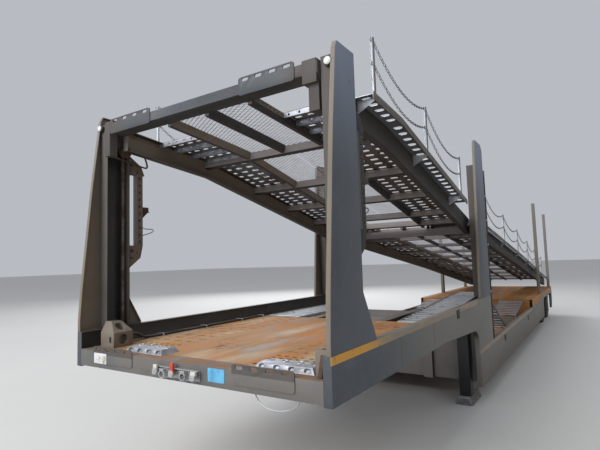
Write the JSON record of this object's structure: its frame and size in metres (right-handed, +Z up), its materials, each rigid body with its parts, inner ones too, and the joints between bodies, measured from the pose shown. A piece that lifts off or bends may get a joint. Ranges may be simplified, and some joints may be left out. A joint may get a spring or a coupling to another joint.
{
  "type": "car transporter semi-trailer",
  "caption": "Two-deck semi-trailer for carrying cars, with a raised neck over the coupling, tilting upper decks, guide posts, railings and twin wheels.",
  "frame": {"origin": "on the ground under the middle of the trailer's box", "axes": "+X forwards to the nose, +Y to the trailer's left, +Z up"},
  "size_m": [14.17, 2.55, 3.5705],
  "materials": {
    "grey_paint": "weathered satin slate-grey paint",
    "brown_steel": "dirty brown, rust-stained paint",
    "rusty_deck": "worn deck steel with orange rust",
    "galvanised": "dull galvanised steel with rust specks",
    "black_steel": "black paint, greasy",
    "bare_steel": "bare oiled steel",
    "rim_paint": "dull silver paint with dust",
    "tyre": "dusty black tyre rubber",
    "rubber": "matte black rubber",
    "lamp_lens": "red moulded lens",
    "plate_white": "blank white plate"
  },
  "bodies": {
    "chassis": {"air_bags": "rubber", "axle_deck": "rusty_deck", "axles": "brown_steel", "bridge": "brown_steel", "bulkhead": "brown_steel", "couplers": "bare_steel", "coupling_plate": "brown_steel", "front_guides": "black_steel", "front_posts": "grey_paint", "hose_bundle": "rubber", "ladder_stands": "brown_steel", "ladders": "galvanised", "landing_feet": "galvanised", "landing_legs": "brown_steel", "lift_screws": "bare_steel", "neck_deck": "rusty_deck", "neck_frame": "brown_steel", "neck_tracks": "rusty_deck", "nose_beam": "grey_paint", "nose_planks": "galvanised", "nose_plates": "plate_white", "post_boxes": "grey_paint", "post_struts": "brown_steel", "rear_frame": "brown_steel", "rear_guides": "black_steel", "rear_posts": "brown_steel", "second_guides": "brown_steel", "second_posts": "grey_paint", "side_panels": "grey_paint", "tail_beam": "black_steel", "tail_lamps": "lamp_lens", "third_posts": "grey_paint", "trailing_arms": "brown_steel", "well_floor": "rusty_deck", "well_frame": "brown_steel"},
    "front_deck": {"front_deck_frame": "brown_steel", "front_deck_tracks": "galvanised", "front_deck_mesh": "galvanised", "front_deck_nose": "grey_paint", "front_walkways": "galvanised", "front_chains": "galvanised"},
    "front_carriages": {"front_carriages": "black_steel"},
    "rear_deck": {"rear_deck_frame": "brown_steel", "rear_deck_tracks": "galvanised", "rear_deck_mesh": "galvanised", "rear_walkways": "galvanised", "rear_chains": "galvanised"},
    "wheels_1_left": {"tyres_1_left": "tyre", "rims_1_left": "rim_paint"},
    "wheels_1_right": {"tyres_1_right": "tyre", "rims_1_right": "rim_paint"},
    "wheels_2_left": {"tyres_2_left": "tyre", "rims_2_left": "rim_paint"},
    "wheels_2_right": {"tyres_2_right": "tyre", "rims_2_right": "rim_paint"}
  },
  "joints": [
    {"name": "wheel_1_left_spin", "type": "hinge", "parent": "chassis", "child": "wheels_1_left", "pos_m": [-4.955, 0.9405, 0.3945], "axis": [0, 1, 0], "continuous": true},
    {"name": "wheel_1_right_spin", "type": "hinge", "parent": "chassis", "child": "wheels_1_right", "pos_m": [-4.955, -0.9405, 0.3945], "axis": [0, 1, 0], "continuous": true},
    {"name": "wheel_2_left_spin", "type": "hinge", "parent": "chassis", "child": "wheels_2_left", "pos_m": [-6.155, 0.9405, 0.3945], "axis": [0, 1, 0], "continuous": true},
    {"name": "wheel_2_right_spin", "type": "hinge", "parent": "chassis", "child": "wheels_2_right", "pos_m": [-6.155, -0.9405, 0.3945], "axis": [0, 1, 0], "continuous": true},
    {"name": "front_deck_tilt", "type": "hinge", "parent": "chassis", "child": "front_deck", "pos_m": [2.755, 0, 2.30552], "axis": [0, 1, 0], "range_deg": [0, 11]},
    {"name": "front_carriage_lift", "type": "slide", "parent": "chassis", "child": "front_carriages", "axis": [0, 0, 1], "range_m": [-0.78, 0]},
    {"name": "rear_deck_tilt", "type": "hinge", "parent": "chassis", "child": "rear_deck", "pos_m": [2.345, 0, 2.27826], "axis": [0, 1, 0], "range_deg": [0, 8]}
  ],
  "couplings": [
    {"joint": "front_carriage_lift", "follows": "front_deck_tilt", "m_per_rad": -3.9626}
  ]
}
